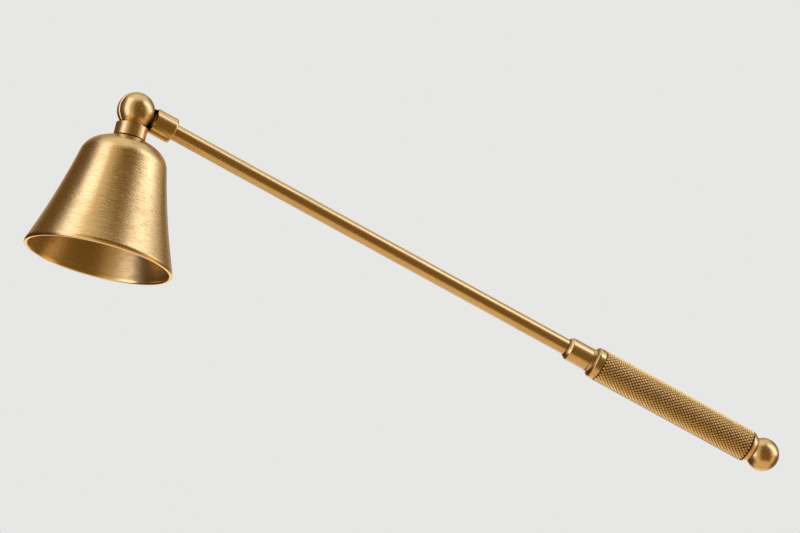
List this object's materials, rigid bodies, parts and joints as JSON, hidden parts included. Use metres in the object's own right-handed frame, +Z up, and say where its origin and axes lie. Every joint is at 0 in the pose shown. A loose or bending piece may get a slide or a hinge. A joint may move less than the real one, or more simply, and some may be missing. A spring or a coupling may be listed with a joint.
{
  "type": "candle snuffer",
  "caption": "Brass candle snuffer: a flared bell on a slotted ball knuckle that swings, with a slim rod and a knurled handle ending in a ball.",
  "frame": {"origin": "centre of the bell's mouth, on the plane of its lip", "axes": "+Z up the bell's axis, +X from the bell towards the handle's end, so the pivot's axis is parallel to Y"},
  "size_m": [0.2166, 0.04, 0.0464],
  "materials": {
    "brushed_brass": "fine brushing round the bell's axis",
    "satin_brass": "satin",
    "knurled_brass": "diamond knurl with dark recesses",
    "screw_brass": "turned, satin",
    "screw_steel": "plain turned",
    "black_nylon": "matt"
  },
  "bodies": {
    "handle": {"rod_ferrule": "satin_brass", "rod": "satin_brass", "handle_sleeve": "satin_brass", "front_ring": "satin_brass", "grip": "knurled_brass", "rear_ring": "satin_brass", "finial": "satin_brass"},
    "bell_head": {"bell": "brushed_brass", "bell_washer": "screw_steel", "bell_screw": "screw_steel", "knuckle_collar": "satin_brass", "pivot_screw": "screw_brass", "friction_washers": "black_nylon"}
  },
  "joints": [
    {"name": "bell_swivel", "type": "hinge", "parent": "handle", "child": "bell_head", "pos_m": [0, 0, 0.0414], "axis": [0, 1, 0], "range_deg": [0, 195]}
  ]
}
